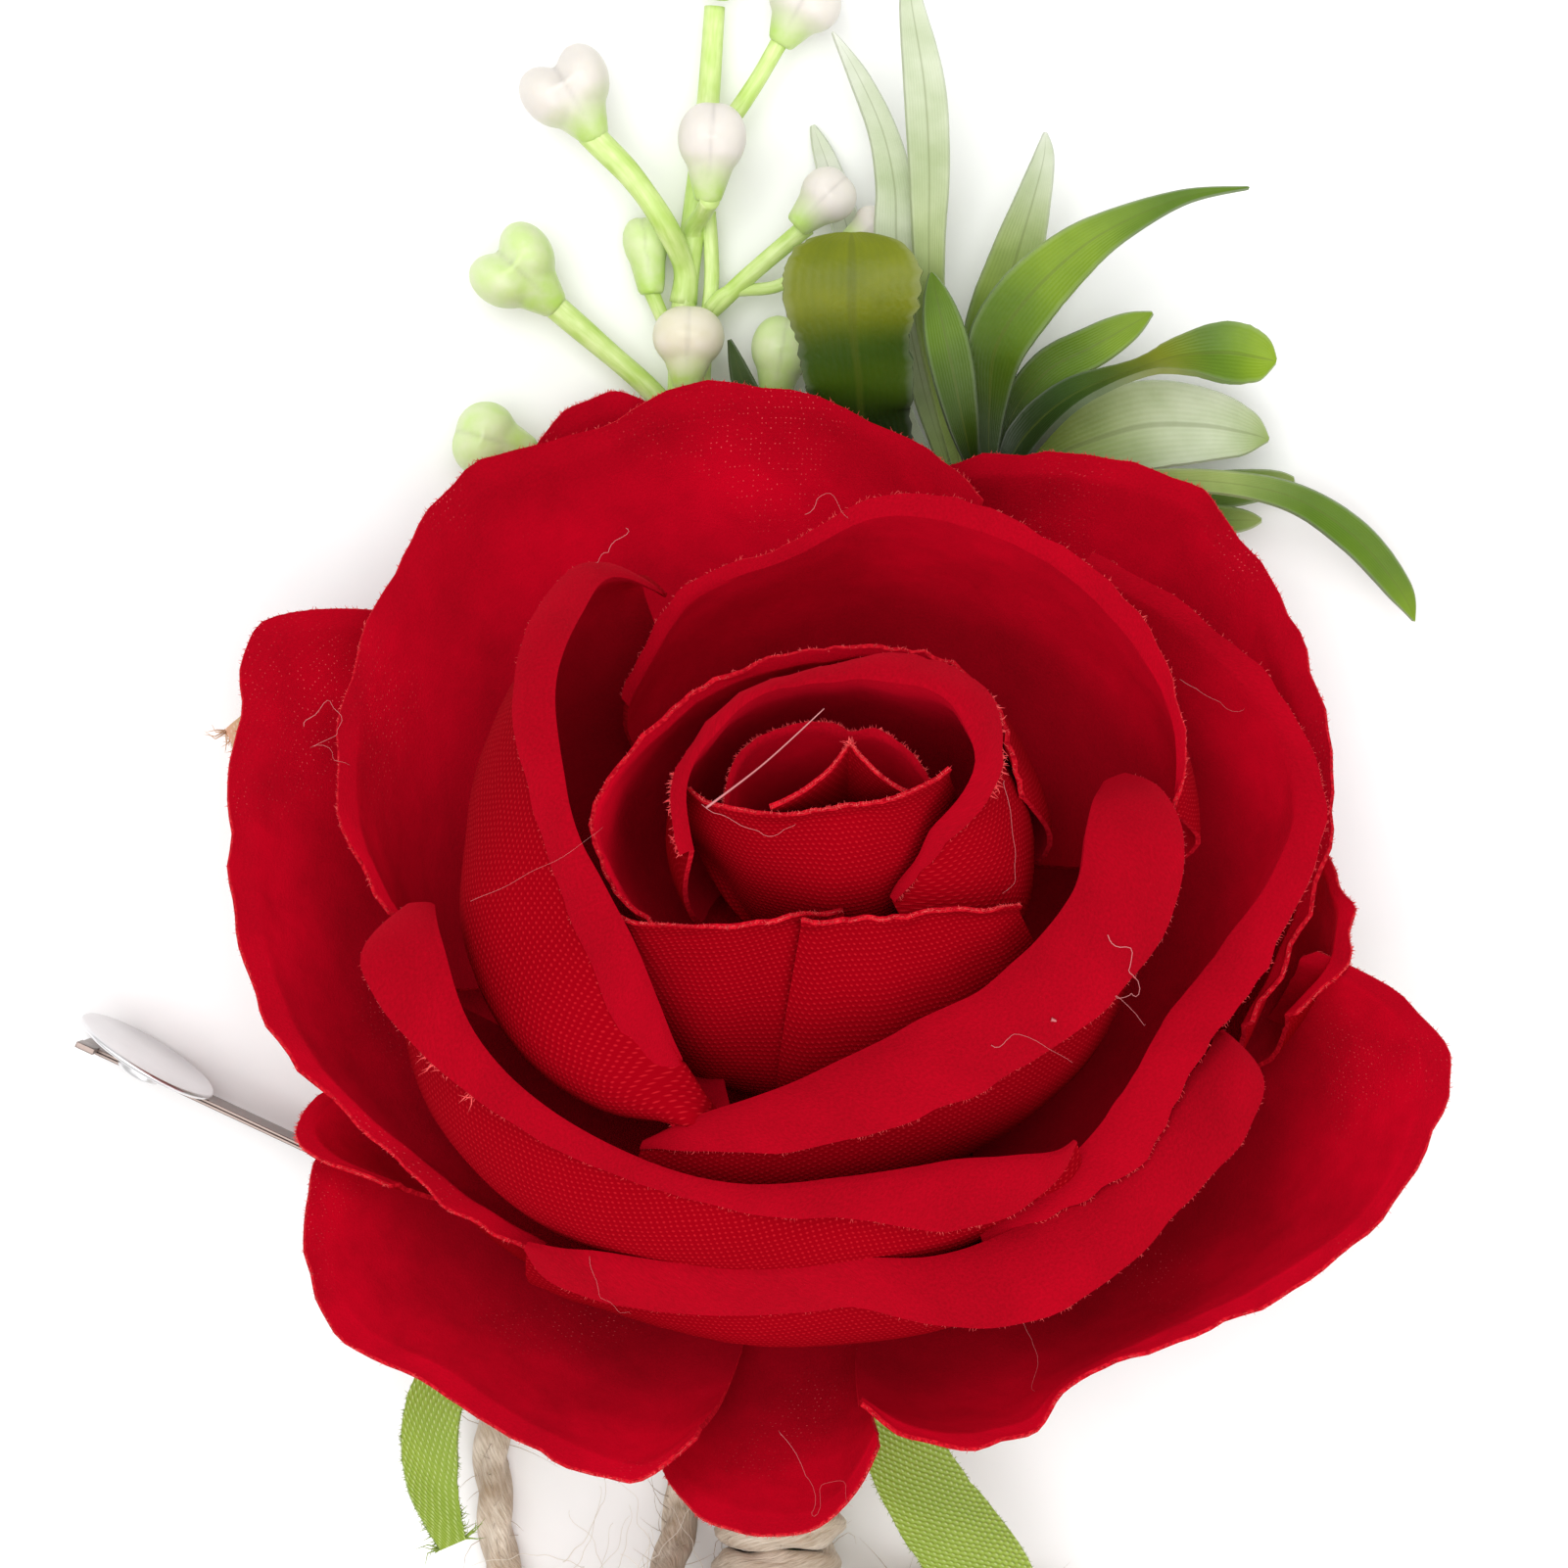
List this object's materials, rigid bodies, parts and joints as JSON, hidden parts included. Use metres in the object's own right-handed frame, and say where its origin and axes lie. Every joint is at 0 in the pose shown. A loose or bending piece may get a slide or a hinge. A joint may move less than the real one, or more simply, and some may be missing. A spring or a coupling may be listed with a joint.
{
  "type": "flower lapel pin",
  "caption": "Artificial red velvet rose lapel pin with a sprig of pale buds, a sprig of long green leaves, stems bound with twine, and a metal clip.",
  "frame": {"origin": "point on the surface the pin lies on, straight behind the foot of the rose, where it rests on the lapel", "axes": "+Z away from the surface towards the front of the rose, +Y along the pin from the stem's cut end to the sprigs"},
  "size_m": [0.0885, 0.1394, 0.044],
  "materials": {
    "petal_velvet": "matte",
    "core_foam": "matte",
    "calyx_cloth": "matte",
    "stem_wrap": "satin",
    "twine": "matte",
    "clip_steel": "polished",
    "sprig_stem": "satin",
    "bud_pale": "satin",
    "leaf_green": "satin"
  },
  "bodies": {
    "root": {"petal_heart_roll": "petal_velvet", "petal_heart_front": "petal_velvet", "petal_heart_back": "petal_velvet", "petal_collar": "petal_velvet", "petal_outer_collar": "petal_velvet", "petal_bud_left": "petal_velvet", "petal_bud_right": "petal_velvet", "petal_wing_left": "petal_velvet", "petal_back": "petal_velvet", "petal_wing_right": "petal_velvet", "petal_wing_low": "petal_velvet", "petal_guard_right": "petal_velvet", "petal_guard_low": "petal_velvet", "petal_top_left": "petal_velvet", "petal_top_right": "petal_velvet", "petal_left": "petal_velvet", "petal_low_left": "petal_velvet", "petal_low": "petal_velvet", "petal_low_right": "petal_velvet", "petal_right": "petal_velvet", "petal_tuck_top": "petal_velvet", "petal_tuck_left": "petal_velvet", "rose_core": "core_foam", "calyx": "calyx_cloth", "stem": "stem_wrap", "twine_wrap": "twine", "bow_knot": "twine", "bow_loop_left": "twine", "bow_loop_right": "twine", "bow_tail_left": "twine", "bow_tail_right": "twine", "pin_clip": "clip_steel", "berry_stem": "sprig_stem", "leaf_stem": "leaf_green", "bud_heart_top": "bud_pale", "bud_heart_left": "bud_pale", "bud_front": "bud_pale", "bud_cream": "bud_pale", "bud_behind": "bud_pale", "bud_pair_left": "bud_pale", "bud_pair_right": "bud_pale", "bud_green": "bud_pale", "bud_top": "bud_pale", "bud_upper_right": "bud_pale", "bud_low_left": "bud_pale", "leaf_curled": "leaf_green", "leaf_narrow": "leaf_green", "leaf_tall": "leaf_green", "leaf_thin": "leaf_green", "leaf_far": "leaf_green", "leaf_upright": "leaf_green", "leaf_arched": "leaf_green", "leaf_low_arch": "leaf_green", "leaf_twisted": "leaf_green", "leaf_broad": "leaf_green", "leaf_drooping": "leaf_green", "leaf_back_upper": "leaf_green", "leaf_back_lower": "leaf_green", "leaf_dark": "leaf_green"}
  },
  "joints": []
}
